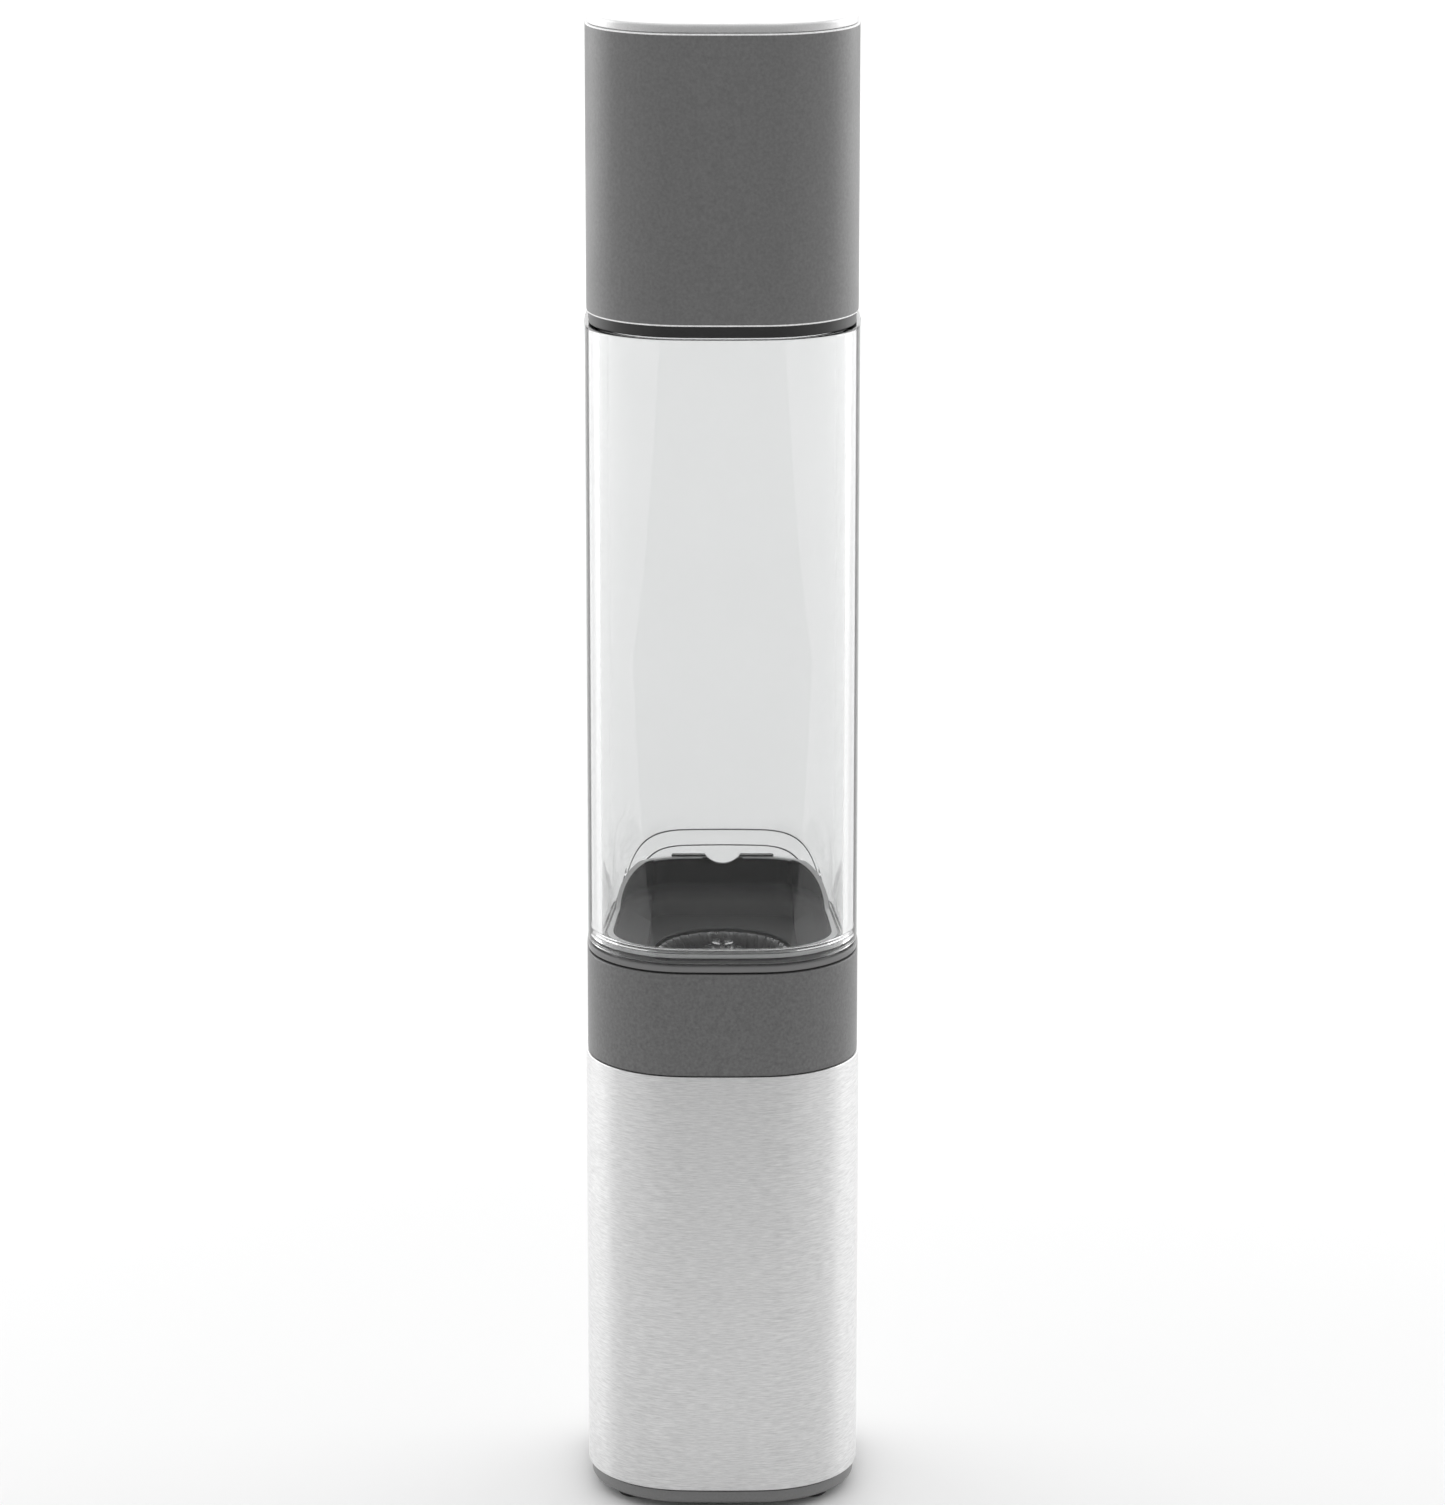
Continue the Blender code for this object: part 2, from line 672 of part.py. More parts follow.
def cap_shell(parts, cutters, plastic):
    inner = CAP_HALF - CAP_WALL
    rings = [
        square(CAP_HALF - 0.35, CAP_TOP),
        square(CAP_HALF, CAP_TOP - 0.35),
        square(CAP_HALF, CAP_BOTTOM + 0.35),
        square(CAP_HALF - 0.35, CAP_BOTTOM),
        square(inner, CAP_BOTTOM),
        square(inner, CAP_TOP - 2.4),
    ]
    shell = loft("cap_shell", rings, parts, plastic, capped=True)
    places = corner_places(CAP_POST, CAP_POST)
    tools = (
        cylinders("shell_pockets", places, 2.25, CAP_TOP - 1.3, CAP_TOP + 1, cutters),
        cylinders("shell_holes", places, 1.25, CAP_TOP - 4, CAP_TOP, cutters),
    )
    for tool in tools:
        combine(shell, tool, "DIFFERENCE")
    return shell


def top_plate(parts, steel):
    low = CAP_TOP + 0.35
    rings = [
        square(PLATE_HALF, low),
        square(PLATE_HALF, TOTAL_HEIGHT - 0.7),
        square(PLATE_HALF - 0.25, TOTAL_HEIGHT - 0.25),
        square(PLATE_HALF - 0.9, TOTAL_HEIGHT),
    ]
    return loft("top_plate", rings, parts, steel, capped=True)


def cap_liner(parts, cutters, plastic):
    """The plug that closes the container: a cup with four posts up to the top of the shell."""
    flange = CAP_HALF - CAP_WALL - GAP
    floor = LINER_BOTTOM + 1.8
    rings = [
        square(LINER_HALF - 1.6, floor),
        square(LINER_HALF - 1.6, LINER_RIM),
        square(flange, LINER_RIM),
        square(flange, LINER_RIM - 1.4),
        square(LINER_HALF, LINER_RIM - 1.4),
        square(LINER_HALF, LINER_BOTTOM + 0.5),
        square(LINER_HALF - 0.5, LINER_BOTTOM),
    ]
    liner = loft("cap_liner", rings, parts, plastic, capped=True)
    places = corner_places(CAP_POST, CAP_POST)
    top = CAP_TOP - 2.4 - GAP
    combine(liner, cylinders("liner_posts", places, 2.5, floor - 0.6, top, cutters), "UNION")
    combine(liner, cylinders("liner_holes", places, 1.25, top - 9, top + 1, cutters), "DIFFERENCE")
    return liner


def cap_gasket(parts, rubber):
    high = LINER_RIM - 1.4 - 0.2
    low = CONTAINER_TOP + 0.2
    rings = [square(22.2, high), square(22.2, low), square(21.6, low), square(21.6, high)]
    return loft("cap_gasket", rings, parts, rubber)


# The whole mill ---------------------------------------------------------------------------------


def build():
    for thing in list(bpy.data.objects):
        bpy.data.objects.remove(thing)
    parts, cutters = pepper_mill_collection()
    dark = make_material("dark_plastic", (0.12, 0.12, 0.12), 0.45)
    gloss = make_material("gloss_plastic", (0.03, 0.03, 0.032), 0.2)
    inside = make_material("inside_plastic", (0.16, 0.16, 0.165), 0.5)
    clear = make_material("clear_plastic", (0.95, 0.96, 0.96), 0.04, transmission=0.95)
    sleeve = make_material("brushed_sleeve", (0.60, 0.60, 0.60), 0.35, metallic=1.0)
    plate = make_material("satin_plate", (0.70, 0.70, 0.70), 0.3, metallic=1.0)
    steel = make_material("bright_steel", (0.62, 0.62, 0.63), 0.25, metallic=1.0)
    burr = make_material("burr_steel", (0.66, 0.66, 0.66), 0.3, metallic=1.0)
    nylon = make_material("nylon", (0.80, 0.80, 0.78), 0.45)
    rubber = make_material("rubber", (0.03, 0.03, 0.03), 0.75)
    silicone = make_material("silicone", (0.62, 0.62, 0.62), 0.45)

    steel_sleeve(parts, sleeve)
    inner_housing(parts, cutters, inside)
    base_plate(parts, cutters, dark)
    rubber_feet(parts, rubber)
    seat = FOOT_HEIGHT + GAP + 1.4
    screws("base_screw", corner_places(), 14.0, seat, seat - 1.2, parts, steel)
    outlet_chute(parts, cutters, inside)
    screws("chute_screw", corner_places(), 62.0, CHUTE_TOP + 0.1, CHUTE_TOP + 1.4, parts, steel)
    drive_spider(parts, cutters, inside)
    spindle_bush(parts, cutters, nylon)
    slide_washer(parts, nylon)

    spindle(parts, cutters, steel)
    spindle_clips(parts, steel)
    spring_washer(parts, steel)
    burr_spring(parts, steel, 50.6, LEDGE_Z - 1.3)
    rotor_burr(parts, burr)
    adjuster_knob(parts, cutters, dark)
    adjuster_screw(parts, cutters, steel)

    stator_burr(parts, burr)
    burr_clamp_ring(parts, steel)
    hopper(parts, cutters, gloss)
    container(parts, clear)
    container_seal(parts, silicone)
    collar_band(parts, cutters, dark)
    swivel_ring(parts, steel)
    screws("collar_screw", corner_places(), 92.0, BAND_BOTTOM + 1.2, BAND_BOTTOM + 0.1, parts, steel)

    cap_shell(parts, cutters, dark)
    top_plate(parts, plate)
    cap_liner(parts, cutters, dark)
    cap_gasket(parts, rubber)
    cap_places = corner_places(CAP_POST, CAP_POST)
    screws("cap_screw", cap_places, CAP_TOP - 10.0, CAP_TOP - 1.2, CAP_TOP - 0.1, parts, steel)


build()
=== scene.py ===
"""Looks for the manual pepper mill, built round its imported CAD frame.

Each visible shell is lofted again here at a fine resolution, with rounded edges, on the sizes of
the CAD node that it stands for. Small inner pieces stay as CAD nodes and get softened edges.
Sizes are in millimetres unless a name says otherwise. MM turns them into metres.
"""

import json
import math

import bmesh
import bpy
from mathutils import Matrix, Vector


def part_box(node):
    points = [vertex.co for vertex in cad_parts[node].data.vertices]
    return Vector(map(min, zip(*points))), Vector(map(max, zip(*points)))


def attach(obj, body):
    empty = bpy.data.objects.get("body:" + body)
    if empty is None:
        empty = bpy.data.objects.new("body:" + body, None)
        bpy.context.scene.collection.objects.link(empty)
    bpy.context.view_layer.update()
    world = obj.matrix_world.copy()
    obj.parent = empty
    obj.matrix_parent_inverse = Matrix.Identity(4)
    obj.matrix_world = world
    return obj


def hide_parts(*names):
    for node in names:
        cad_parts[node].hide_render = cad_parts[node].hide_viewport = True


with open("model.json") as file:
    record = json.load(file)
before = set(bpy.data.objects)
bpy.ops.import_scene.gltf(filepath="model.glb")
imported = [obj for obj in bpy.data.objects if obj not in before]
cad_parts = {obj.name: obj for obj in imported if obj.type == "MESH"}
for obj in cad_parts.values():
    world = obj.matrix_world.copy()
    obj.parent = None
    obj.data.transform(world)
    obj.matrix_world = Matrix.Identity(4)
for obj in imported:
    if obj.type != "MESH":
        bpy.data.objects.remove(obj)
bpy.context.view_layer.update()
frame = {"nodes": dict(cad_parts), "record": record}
MM = 0.001

# Outline of the body from above: four slightly bowed faces and wide round corners
FACE_BOW = 2.2
CORNER_RADIUS = 18.0
FACE_STEPS = 16
CORNER_STEPS = 26
ROUND_STEPS = 96
SOFT_STEPS = 4

# Cap: a dark lip under the shell, set in from its face, and the width of the painted highlight
# bands along its top and bottom edges
LIP_DROP = 2.0
LIP_INSET = 0.35
EDGE_WIDTH = 0.28
CAP_WALL = 1.0

# Container: its wall, and how far the neck for the cap is set in from the outside
CONTAINER_WALL = 2.4
NECK_INSET = 1.65

# The seal sits this much lower than in the CAD, as the photo shows it
SEAL_DROP = 0.6

# Hopper: its rim climbs from front to back along the sides, on a slight curve
RAMP_START = 6.0
RAMP_LENGTH = 10.6
RIM_BEND = 0.25
RIM_INSET = 2.7
RIM_TO_BACK = 0.65
RIM_BELOW_TAB = 0.4
RIM_TO_SEAL = 0.35
NOTCH_RADIUS = 3.8
NOTCH_LIFT = 2.0

# Edges of the step inside the container, over the hopper's back: the y where each starts to
# climb, the length of its climb along y, and the climb's bend
STEP_UPPER = (12.5, 9.1, 1.0)
STEP_LOWER = (15.4, 6.2, 1.0)

# Burrs: tooth counts, points per tooth, and the twist of the teeth in radians per millimetre
STATOR_TEETH = 36
STATOR_STEPS = 8
STATOR_TWIST = -0.02
ROTOR_TEETH = 12
ROTOR_STEPS = 16
ROTOR_TWIST = 0.055

SPINDLE_RADIUS = 2.0
KNOB_FLUTES = 10
FEET = ("foot_back_right", "foot_back_left", "foot_front_left", "foot_front_right")


def low(node):
    """Lowest point of a CAD node."""
    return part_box(node)[0].z / MM


def high(node):
    """Highest point of a CAD node."""
    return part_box(node)[1].z / MM


def half(node):
    """Half the width of a CAD node that stands on the mill's axis."""
    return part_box(node)[1].x / MM


BODY_HALF = half("steel_sleeve")


# Outlines ---------------------------------------------------------------------------------------


def square(half_width, z):
    """The body outline at height z, moved in from the sleeve's outside to the given half width."""
    inset = BODY_HALF - half_width
    face = (BODY_HALF**2 + FACE_BOW**2) / (2 * FACE_BOW)
    back = face - BODY_HALF
    centre = (math.sqrt(8 * (face - CORNER_RADIUS) ** 2 - 4 * back**2) - 2 * back) / 4
    tangent = math.atan2(centre, centre + back)
    quarter = []
    for i in range(FACE_STEPS):
        turn = tangent * (2 * i / FACE_STEPS - 1)
        along = Vector((math.sin(turn), -math.cos(turn)))
        quarter.append(along * (face - inset) + Vector((0, back)))
    for i in range(CORNER_STEPS):
        turn = tangent + (math.pi / 2 - 2 * tangent) * i / CORNER_STEPS
        along = Vector((math.sin(turn), -math.cos(turn)))
        quarter.append(along * (CORNER_RADIUS - inset) + Vector((centre, -centre)))
    ring = []
    for side in range(4):
        spin = Matrix.Rotation(side * math.pi / 2, 2)
        ring.extend(spin @ point for point in quarter)
    return [Vector((p.x, p.y, z)) * MM for p in ring]


def disc(radius, z):
    """A circle with a point in the direction of each point of the body outline."""
    flat = [Vector((p.x, p.y, 0)).normalized() * radius for p in square(BODY_HALF, 0)]
    return [(p + Vector((0, 0, z))) * MM for p in flat]


def circle(radius, z, count=ROUND_STEPS):
    """A circle at height z."""
    angles = [2 * math.pi * i / count for i in range(count)]
    return [Vector((radius * math.cos(a), radius * math.sin(a), z)) * MM for a in angles]


def raised(half_width, z_low, z_high, start=RAMP_START, length=RAMP_LENGTH, bend=RIM_BEND):
    """The body outline at z_low, climbing to z_high from y = start on.

    A positive bend makes it climb faster at first.
    """
    ring = square(half_width, z_low)
    for point in ring:
        share = min(1.0, max(0.0, (point.y / MM - start) / length))
        share += bend * share * (1 - share)
        point.z += (z_high - z_low) * MM * share
    return ring


# Meshes -----------------------------------------------------------------------------------------


def soften(path, setbacks, closed):
    """Rounds the corners of a path. A setback is how far from the corner its curve starts."""
    softened = []
    for i, (corner, setback) in enumerate(zip(path, setbacks)):
        if setback == 0 or (not closed and i in (0, len(path) - 1)):
            softened.append(corner)
            continue
        before = path[i - 1] - corner
        after = path[(i + 1) % len(path)] - corner
        start = corner + before.normalized() * min(setback * MM, 0.45 * before.length)
        end = corner + after.normalized() * min(setback * MM, 0.45 * after.length)
        for step in range(SOFT_STEPS + 1):
            t = step / SOFT_STEPS
            softened.append(start.lerp(corner, t).lerp(corner.lerp(end, t), t))
    return softened


def loft(name, rings, setbacks, capped=False):
    """A mesh through the rings, with each ring's edge softened. The ends meet, or are capped."""
    columns = [soften(path, setbacks, not capped) for path in zip(*rings)]
    count = len(columns)
    height = len(columns[0])
    points = [point for column in columns for point in column]
    faces = []
    rows = height - 1 if capped else height
    for i in range(count):
        j = (i + 1) % count
        for k in range(rows):
            m = (k + 1) % height
            faces.append((i * height + k, j * height + k, j * height + m, i * height + m))
    if capped:
        faces.append([i * height for i in range(count)])
        faces.append([i * height + height - 1 for i in range(count)])
    mesh = bpy.data.meshes.new(name)
    mesh.from_pydata(points, [], faces)
    return finish_mesh(name, mesh)


def finish_mesh(name, mesh):
    """Turns the faces out and shades the mesh smooth."""
    bm = bmesh.new()
    bm.from_mesh(mesh)
    bmesh.ops.recalc_face_normals(bm, faces=bm.faces)
    bm.to_mesh(mesh)
    bm.free()
    mesh.shade_smooth()
    piece = bpy.data.objects.new(name, mesh)
    bpy.context.scene.collection.objects.link(piece)
    return piece


def turned(name, profile, soft=0.15, capped=False, count=ROUND_STEPS, at=(0, 0)):
    """A round piece from a profile of (radius, height)."""
    piece = loft(name, [circle(r, z, count) for r, z in profile], [soft] * len(profile), capped)
    piece.location = (at[0] * MM, at[1] * MM, 0)
    return piece


def place(piece, body, material, nodes):
    """Shades a piece, hangs it on its body and lets it stand for its CAD nodes."""
    normals = piece.modifiers.new("normals", "WEIGHTED_NORMAL")
    normals.keep_sharp = True
    piece.data.materials.append(material)
    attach(piece, body)
    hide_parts(*nodes)
    return piece


def combine(piece, tool, operation):
    """Joins a tool to a piece or cuts it away. The tool itself isn't shown."""
    modifier = piece.modifiers.new(tool.name, "BOOLEAN")
    modifier.operation = operation
    modifier.solver = "EXACT"
    modifier.object = tool
    tool.hide_render = True
    tool.hide_viewport = False
    tool.display_type = "WIRE"


# Materials --------------------------------------------------------------------------------------


class Surface:
    """A Principled material with the few nodes that its pattern needs."""

    def __init__(self, name, **inputs):
        self.material = bpy.data.materials.new(name)
        self.material.use_nodes = True
        self.tree = self.material.node_tree
        self.shader = self.tree.nodes["Principled BSDF"]
        for socket, value in inputs.items():
            socket = socket.replace("_", " ").title().replace("Ior", "IOR")
            self.shader.inputs[socket].default_value = value

    def node(self, kind, **inputs):
        made = self.tree.nodes.new(kind)
        for socket, value in inputs.items():
            made.inputs[socket.replace("_", " ").title()].default_value = value
        return made

    def link(self, source, target):
        self.tree.links.new(source, target)

    def noise(self, scale, detail=3.0, roughness=0.5, stretch=(1, 1, 1)):
        """Noise over the piece's own coordinates, in features per metre, stretched if asked."""
        where = self.node("ShaderNodeTexCoord")
        mapping = self.node("ShaderNodeMapping")
        mapping.inputs["Scale"].default_value = stretch
        self.link(where.outputs["Object"], mapping.inputs["Vector"])
        noise = self.node("ShaderNodeTexNoise", scale=scale, detail=detail, roughness=roughness)
        self.link(mapping.outputs["Vector"], noise.inputs["Vector"])
        return noise.outputs["Fac"]

    def height(self):
        """Height over the table in metres, on a piece whose origin is there."""
        where = self.node("ShaderNodeTexCoord")
        split = self.node("ShaderNodeSeparateXYZ")
        self.link(where.outputs["Object"], split.inputs["Vector"])
        return split.outputs["Z"]

    def remap(self, source, low_value, high_value, start=0.25, end=0.75):
        """Maps a pattern from start..end to a range of numbers."""
        mapped = self.node("ShaderNodeMapRange", from_min=start, from_max=end)
        mapped.inputs["To Min"].default_value = low_value
        mapped.inputs["To Max"].default_value = high_value
        self.link(source, mapped.inputs["Value"])
        return mapped.outputs["Result"]

    def spread(self, source, low_value, high_value, target, start=0.25, end=0.75):
        """Sets one of the shader's sockets from a pattern, in a range of numbers."""
        mapped = self.remap(source, low_value, high_value, start, end)
        self.link(mapped, self.shader.inputs[target])

    def tint(self, source, dark, light, start=0.25, end=0.75):
        """Maps a pattern to a range of greys for the base colour.

        A colour ramp is sampled in steps of 1/256, so a height in metres fades over about 4 mm.
        """
        ramp_node = self.node("ShaderNodeValToRGB")
        stops = ramp_node.color_ramp.elements
        stops[0].position, stops[1].position = start, end
        stops[0].color, stops[1].color = (dark, dark, dark, 1), (light, light, light, 1)
        self.link(source, ramp_node.inputs["Fac"])
        self.link(ramp_node.outputs["Color"], self.shader.inputs["Base Color"])

    def arithmetic(self, operation, *operands):
        """A Math node. Each operand is a number or another node's output."""
        made = self.node("ShaderNodeMath")
        made.operation = operation
        for socket, operand in zip(made.inputs, operands):
            if isinstance(operand, (int, float)):
                socket.default_value = operand
            else:
                self.link(operand, socket)
        return made.outputs["Value"]

    def banded(self, grain, bands):
        """Greys by height, from (height in millimetres, grey) upwards, times a grain near 1."""
        height = self.height()
        grey_below, shade = 0.0, 0.0
        for start, grey in bands:
            above = self.arithmetic("GREATER_THAN", height, start * MM)
            shade = self.arithmetic("MULTIPLY_ADD", above, grey - grey_below, shade)
            grey_below = grey
        product = self.arithmetic("MULTIPLY", shade, self.remap(grain, 0.85, 1.15))
        self.link(product, self.shader.inputs["Base Color"])

    def bump(self, *heights):
        """Bumps from (pattern, strength, distance in millimetres), laid over one another."""
        last = None
        for source, strength, distance in heights:
            made = self.node("ShaderNodeBump", strength=strength)
            made.inputs["Distance"].default_value = distance * MM
            self.link(source, made.inputs["Height"])
            if last:
                self.link(last, made.inputs["Normal"])
            last = made.outputs["Normal"]
        self.link(last, self.shader.inputs["Normal"])


def moulded(name, dark, light, roughness, grain=3000, strength=0.25):
    """Satin moulded plastic: a fine mottled grain over a slow change of gloss."""
    surface = Surface(name, roughness=roughness)
    fine = surface.noise(grain, 2.0, 0.6)
    slow = surface.noise(60, 2.0)
    surface.tint(fine, dark, light)
    surface.spread(slow, roughness - 0.03, roughness + 0.05, "Roughness")
    surface.bump((fine, strength, 0.02))
    return surface.material


def brushed_sleeve():
    """Steel brushed round the body, with a highlight that spreads across the scratches."""
    scale, roughness, strength = 5000, 0.34, 0.12
    stretch = (0.09, 0.09, 1.0)
    surface = Surface("brushed_sleeve", metallic=1.0, roughness=roughness, anisotropic=0.7)
    surface.shader.inputs["Anisotropic Rotation"].default_value = 0.25
    tangent = surface.node("ShaderNodeTangent")
    tangent.direction_type = "RADIAL"
    tangent.axis = "Z"
    surface.link(tangent.outputs["Tangent"], surface.shader.inputs["Tangent"])
    fine = surface.noise(scale, 4.0, 0.65, stretch)
    broad = surface.noise(scale * 0.22, 3.0, 0.6, stretch)
    surface.tint(fine, 0.56, 0.84)
    surface.spread(broad, roughness - 0.05, roughness + 0.07, "Roughness")
    surface.bump((fine, strength, 0.006), (broad, strength * 0.6, 0.01))
    return surface.material


def bright_metal(name, dark, light, roughness, scale=2500):
    """Bright machined steel with faint wear."""
    surface = Surface(name, metallic=1.0, roughness=roughness)
    fine = surface.noise(scale, 4.0, 0.6)
    surface.tint(fine, dark, light)
    surface.spread(surface.noise(300, 3.0), roughness - 0.06, roughness + 0.08, "Roughness")
    surface.bump((fine, 0.15, 0.01))
    return surface.material


def cap_plastic():
    """The cap's satin plastic over a dark lip, with painted highlights along its top and bottom
    edges.
    """
    surface = Surface("cap_plastic", roughness=0.36)
    fine = surface.noise(1800, 2.0, 0.6)
    bottom, top = low("cap_shell"), high("cap_shell")
    lip, edge_highlight, face = 0.02, 0.9, 0.145
    # The two bands of grey 0.9 are painted highlights, where the cap's rounded edges catch light
    bands = (
        (0, lip),
        (bottom - 0.03, edge_highlight),
        (bottom + EDGE_WIDTH, face),
        (top - EDGE_WIDTH, edge_highlight),
    )
    surface.banded(fine, bands)
    surface.spread(surface.noise(60, 2.0), 0.33, 0.41, "Roughness")
    surface.bump((fine, 0.25, 0.02))
    return surface.material


def clear_plastic():
    """Clear moulded plastic, with a very slight waviness."""
    surface = Surface("clear_plastic", roughness=0.0, transmission_weight=1.0, ior=1.49)
    surface.shader.inputs["Base Color"].default_value = (0.83, 0.835, 0.835, 1)
    surface.bump((surface.noise(45, 1.0), 0.05, 0.05))
    return surface.material


def glossy_plastic():
    """Glossy near-black moulding with a faint orange peel, painted paler from the container's foot
    down: a painted highlight for the hopper's flange.
    """
    surface = Surface("gloss_plastic", roughness=0.16)
    surface.shader.inputs["Specular IOR Level"].default_value = 0.1
    flange = low("container") * MM
    # Paler below the container's foot: painted highlight on the flange's rounded edge
    surface.tint(surface.height(), 0.2, 0.004, flange - 0.2 * MM, flange + 0.2 * MM)
    surface.spread(surface.noise(400, 3.0), 0.13, 0.22, "Roughness")
    surface.bump((surface.noise(260, 1.5), 0.06, 0.05))
    return surface.material


def ring_burr_steel():
    """Bright metal at the ring burr's top, with painted shade below it: dark and not metallic."""
    surface = Surface("ring_burr_steel", roughness=0.3)
    top = high("stator_burr") * MM
    shaded, bare = top - 0.6 * MM, top - 0.3 * MM
    height = surface.height()
    # Dark and not metallic below the top: painted shade down in the well
    surface.tint(height, 0.015, 0.8, shaded, bare)
    surface.spread(height, 0.0, 1.0, "Metallic", shaded, bare)
    surface.shader.inputs["Specular IOR Level"].default_value = 0.15
    surface.spread(surface.noise(300, 3.0), 0.24, 0.38, "Roughness")
    surface.bump((surface.noise(3500, 4.0, 0.6), 0.3, 0.02))
    return surface.material


def rubber():
    """Matt black rubber with a fine grain."""
    surface = Surface("rubber", roughness=0.7)
    fine = surface.noise(4000, 3.0, 0.6)
    surface.tint(fine, 0.018, 0.034)
    surface.spread(surface.noise(200, 2.0), 0.62, 0.8, "Roughness")
    surface.bump((fine, 0.35, 0.03))
    return surface.material


LOOKS = {
    "dark_plastic": moulded("dark_plastic", 0.1, 0.16, 0.36, 1800),
    "gloss_plastic": glossy_plastic(),
    "inside_plastic": moulded("inside_plastic", 0.13, 0.17, 0.5, 1800),
    "clear_plastic": clear_plastic(),
    "brushed_sleeve": brushed_sleeve(),
    "satin_plate": bright_metal("satin_plate", 0.6, 0.7, 0.42, 4000),
    "bright_steel": bright_metal("bright_steel", 0.55, 0.68, 0.24),
    "burr_steel": bright_metal("burr_steel", 0.06, 0.16, 0.4, 3500),
    "nylon": moulded("nylon", 0.72, 0.8, 0.45, 1500, 0.15),
    "rubber": rubber(),
    "silicone": moulded("silicone", 0.85, 0.9, 0.4, 900, 0.1),
}
# The hopper's upper edge as a pale painted highlight, and dark painted lines for the refraction
# that the container's step draws in clear plastic
RIM_HIGHLIGHT_LOOK = moulded("pale_rim_highlight", 0.75, 0.85, 0.3, 900, 0.05)
# Dark strips as painted refraction lines of the step's edges
STEP_LOOK = moulded("painted_step_lines", 0.2, 0.3, 0.3, 900, 0.05)
# Pieces whose finish differs a little from the rest of their slot, some of them with painted
# highlights and painted shade
OWN_LOOKS = {
    "cap_shell": cap_plastic(),
    # The cone burr is near-black as painted shade, down in the well where its steel lies in shadow
    "rotor_burr": moulded("shaded_burr", 0.015, 0.03, 0.7),
    "stator_burr": ring_burr_steel(),
    # The base rim is paler than dark_plastic as painted light, to make up for the shade it sits in
    # near the floor
    "base_plate": moulded("base_rim_painted_light", 0.17, 0.2, 0.4),
    "cap_liner": moulded("plug_plastic", 0.07, 0.09, 0.4),
}
SLOTS = {part["node"]: part["material_slot"] for part in frame["record"]["subparts"]}
BODIES = {}
for body, nodes in frame["record"]["behaviour"]["bodies"].items():
    BODIES.update(dict.fromkeys(nodes, body))


def stand_for(node, piece, *others):
    """The piece takes the body and material slot of the CAD node that it stands for."""
    look = OWN_LOOKS.get(node, LOOKS[SLOTS[node]])
    return place(piece, BODIES[node], look, (node, *others))


# Cap --------------------------------------------------------------------------------------------


def top_plate():
    """The steel plate on the cap, down to the painted highlight band round the cap's top edge."""
    outer = half("top_plate")
    bottom, top = low("top_plate") - EDGE_WIDTH, high("top_plate")
    middle_part = outer - 3
    rings = [
        square(middle_part, bottom),
        square(outer, bottom),
        square(outer, top),
        square(middle_part, top),
    ]
    return loft("top_plate_fine", rings, [0, 0.2, 0.55, 0], capped=True)


def cap_shell():
    """The cap's shell, closed at the top under the plate, with the lip below it."""
    outer = half("cap_shell")
    ledge = outer - 4
    lip = outer - LIP_INSET
    inner = outer - CAP_WALL
    bottom, top = low("cap_shell"), high("cap_shell")
    lip_low = bottom - LIP_DROP
    ceiling = top - 2.4
    rings = [
        square(ledge, top),
        square(outer, top),
        square(outer, bottom),
        square(lip, bottom),
        square(lip, lip_low),
        square(inner, lip_low),
        square(inner, ceiling),
        square(ledge, ceiling),
    ]
    return loft("cap_shell_fine", rings, [0, 0.5, 0.35, 0.05, 0.2, 0.1, 0.6, 0], capped=True)


def cap_liner():
    """The plug under the cap, with the flange that rests on the gasket."""
    bottom = low("cap_liner")
    flange = half("cap_liner")
    plug = half("container") - 2.75
    inner, middle = plug - 1.6, plug - 6
    rim = high("cap_gasket") + 1.6
    flange_low = rim - 1.4
    floor = bottom + 1.8
    rings = [
        square(middle, bottom),
        square(plug, bottom),
        square(plug, flange_low),
        square(flange, flange_low),
        square(flange, rim),
        square(inner, rim),
        square(inner, floor),
        square(middle, floor),
    ]
    return loft("cap_liner_fine", rings, [0, 0.5, 0.3, 0.3, 0.3, 0.3, 0.5, 0], capped=True)


# Reservoir --------------------------------------------------------------------------------------


def container():
    """The clear square tube, with a neck for the cap and a faint rib over the hopper's back."""
    outer = half("container")
    inner = outer - CONTAINER_WALL
    neck = outer - NECK_INSET
    bottom, top = low("container"), high("container")
    shoulder = low("cap_shell") - LIP_DROP - 0.3
    rib = inner - 0.4
    foot = bottom + 1.5
    rings = [
        square(neck, top),
        square(neck, shoulder),
        square(outer, shoulder),
        square(outer, bottom),
        square(inner, bottom),
        raised(inner, foot, bottom + 9.4, *STEP_LOWER),
        raised(rib, foot + 0.3, bottom + 9.7, *STEP_LOWER),
        raised(rib, foot + 0.6, bottom + 12.1, *STEP_UPPER),
        raised(inner, foot + 0.9, bottom + 12.5, *STEP_UPPER),
        square(inner, top),
    ]
    softs = [0.3, 0.5, 0.4, 0.7, 0.35, 0.1, 0.12, 0.12, 0.1, 0.3]
    return loft("container_fine", rings, softs)


